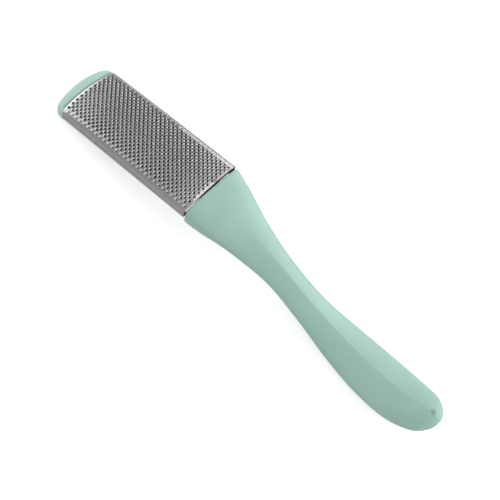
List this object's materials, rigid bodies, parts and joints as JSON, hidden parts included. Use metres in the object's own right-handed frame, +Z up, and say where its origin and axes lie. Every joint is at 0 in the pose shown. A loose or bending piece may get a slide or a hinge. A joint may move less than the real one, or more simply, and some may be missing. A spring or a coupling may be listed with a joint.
{
  "type": "foot file",
  "caption": "Foot file with a cambered, perforated steel rasp face on a moulded plastic carrier, and a long waisted handle with a curved grip.",
  "frame": {"origin": "on the table under the tool, at the middle of its length and on its centreline", "axes": "+X along the tool from the tip of the head towards the end of the grip, +Z up, with the rasp face upwards; the tool lies on the toe of its tip cap and the belly of its grip"},
  "size_m": [0.247, 0.0372, 0.0317],
  "materials": {
    "mint_plastic": "moulded mint green plastic with a fine satin surface",
    "cap_plastic": "moulded mint green plastic, a little lighter and smoother than the handle",
    "rasp_steel": "bright stainless sheet with punched holes and raised, sharp rims",
    "core_plastic": "moulded charcoal plastic of the carrier inside the head, with a plain matt surface"
  },
  "bodies": {
    "root": {"handle_front_shell": "mint_plastic", "handle_back_shell": "mint_plastic", "head_carrier": "core_plastic", "rasp_sheet": "rasp_steel", "tip_cap": "cap_plastic"}
  },
  "joints": []
}
